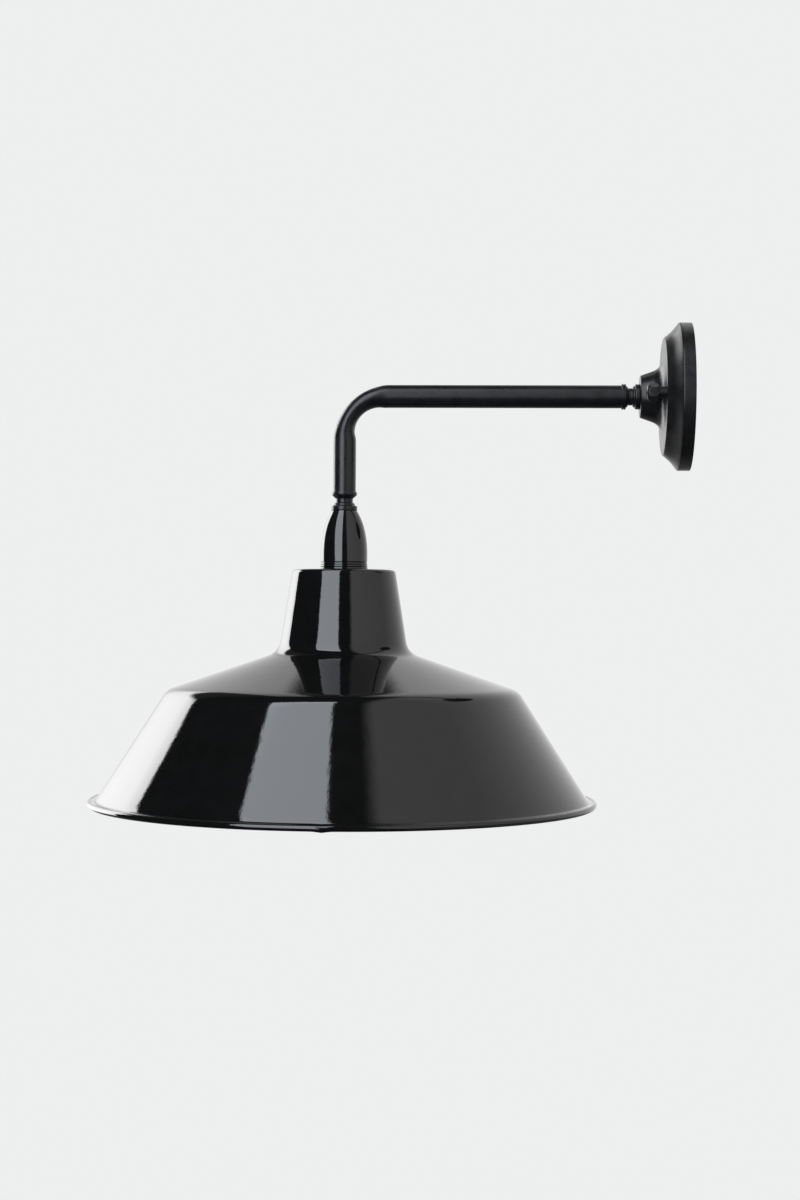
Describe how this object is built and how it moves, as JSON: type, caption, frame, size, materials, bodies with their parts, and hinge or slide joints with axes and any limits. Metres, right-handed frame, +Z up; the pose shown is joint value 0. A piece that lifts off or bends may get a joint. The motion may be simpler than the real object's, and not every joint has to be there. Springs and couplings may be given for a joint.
{
  "type": "wall lamp",
  "caption": "Wall lamp with a round rose, a bent tube arm and a wide spun enamel shade that hangs over a screw-in bulb.",
  "frame": {"origin": "centre of the wall rose's back, on the wall plane", "axes": "+X into the wall, +Z up, the shade hangs on the -X side"},
  "size_m": [0.4198, 0.3568, 0.3388],
  "materials": {
    "satin_black": "satin black lacquer",
    "gloss_black": "gloss black lacquer",
    "black_enamel": "gloss black vitreous enamel outside, white inside",
    "zinc_plate": "zinc plated",
    "brass_part": "plain turned brass",
    "block_plastic": "moulded",
    "bushing_plastic": "moulded",
    "porcelain": "glazed",
    "brown_insulation": "extruded",
    "blue_insulation": "extruded",
    "solder": "dull solder",
    "vitrite": "black insulating glass",
    "cap_metal": "rolled",
    "bulb_glass": "clear",
    "mount_glass": "clear",
    "lead_wire": "drawn",
    "filament": "tungsten"
  },
  "bodies": {
    "lamp": {"mounting_bracket": "zinc_plate", "bracket_studs": "zinc_plate", "earth_screw": "brass_part", "earth_washer": "brass_part", "terminal_block": "block_plastic", "terminal_screws": "zinc_plate", "wall_rose": "satin_black", "cap_nut_washers": "satin_black", "cap_nuts": "satin_black", "rose_lock_washer": "zinc_plate", "rose_locknut": "brass_part", "rose_nipple": "brass_part", "nipple_bushing": "bushing_plastic", "rose_collar": "satin_black", "arm_tube": "satin_black", "arm_end_bushes": "brass_part", "drop_collar": "satin_black", "holder_cup": "gloss_black", "cup_ring": "gloss_black", "shade_washer": "gloss_black", "drop_nipple": "brass_part", "shade": "black_enamel", "shade_clamp_washer": "zinc_plate", "shade_locknut": "brass_part", "lampholder_dome": "porcelain", "lampholder_body": "porcelain", "lampholder_screws": "zinc_plate", "lampholder_shell": "brass_part", "lampholder_contact": "brass_part", "holder_terminals": "brass_part", "holder_terminal_screws": "zinc_plate", "live_wire": "brown_insulation", "neutral_wire": "blue_insulation"},
    "bulb_contact": {"bulb_tip": "solder"},
    "bulb": {"bulb_insulator": "vitrite", "bulb_cap": "cap_metal", "bulb_glass": "bulb_glass", "bulb_mount": "mount_glass", "bulb_leads": "lead_wire", "bulb_filament": "filament"}
  },
  "joints": [
    {"name": "bulb_travel", "type": "slide", "parent": "lamp", "child": "bulb_contact", "axis": [0, 0, -1], "range_m": [0, 0.02177]},
    {"name": "bulb_turn", "type": "hinge", "parent": "bulb_contact", "child": "bulb", "pos_m": [-0.2414, 0, -0.17], "axis": [0, 0, -1], "range_deg": [0, 2160]}
  ],
  "couplings": [
    {"joint": "bulb_travel", "follows": "bulb_turn", "m_per_rad": 0.00057757}
  ]
}
